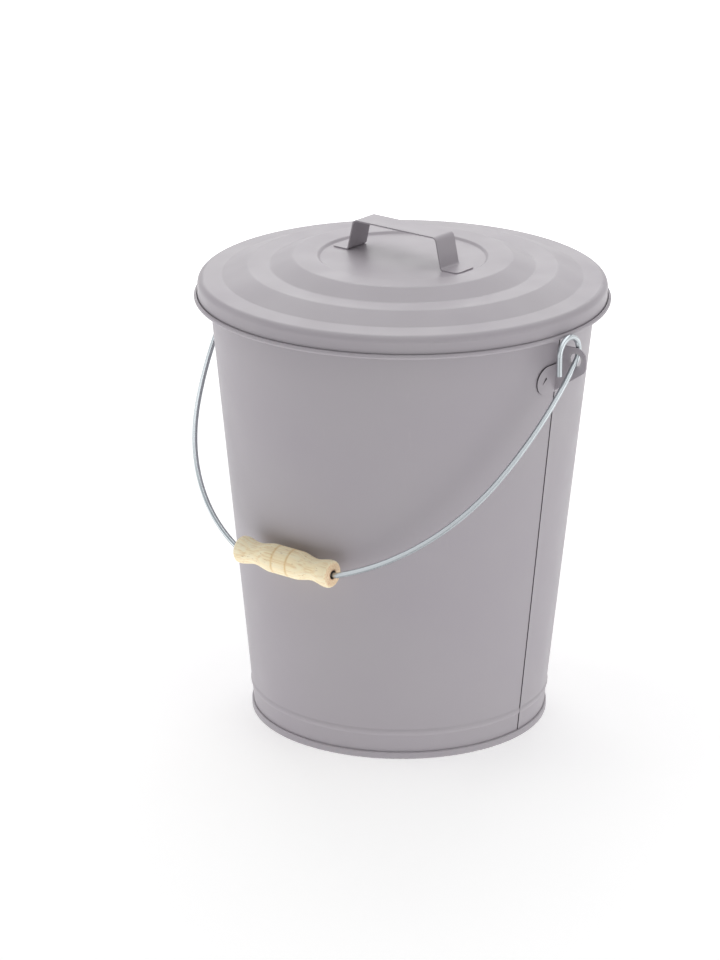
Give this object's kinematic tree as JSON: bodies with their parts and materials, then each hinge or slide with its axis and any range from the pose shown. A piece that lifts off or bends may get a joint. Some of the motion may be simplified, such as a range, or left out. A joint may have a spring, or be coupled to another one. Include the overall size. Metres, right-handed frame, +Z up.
{
  "type": "lidded ash can",
  "caption": "Tapered sheet-steel ash can with a stepped lift-off lid, strap lid handle, side ears and a swinging wire bail with a turned wooden grip.",
  "frame": {"origin": "centre of the base on the floor", "axes": "+Z up along the can's axis, +X through the right ear, and the bail hangs on the -Y side"},
  "size_m": [0.3234, 0.3, 0.3678],
  "materials": {
    "coated_steel": "satin warm grey powder coat",
    "wire_steel": "bright zinc-plated wire",
    "grip_wood": "turned pale wood, lightly sealed"
  },
  "bodies": {
    "can": {"wall": "coated_steel", "bottom": "coated_steel", "ear_left": "coated_steel", "ear_right": "coated_steel"},
    "cover": {"lid": "coated_steel", "lid_handle": "coated_steel"},
    "bail": {"bail": "wire_steel"},
    "grip": {"grip": "grip_wood"}
  },
  "joints": [
    {"name": "lid_lift", "type": "slide", "parent": "can", "child": "cover", "axis": [0, 0, 1], "range_m": [0, 0.06]},
    {"name": "bail_swing", "type": "hinge", "parent": "can", "child": "bail", "pos_m": [0, -0.00852, 0.30502], "axis": [-1, 0, 0], "range_deg": [0, 195]},
    {"name": "grip_spin", "type": "hinge", "parent": "bail", "child": "grip", "pos_m": [0, -0.13299, 0.15039], "axis": [1, 0, 0], "continuous": true}
  ]
}
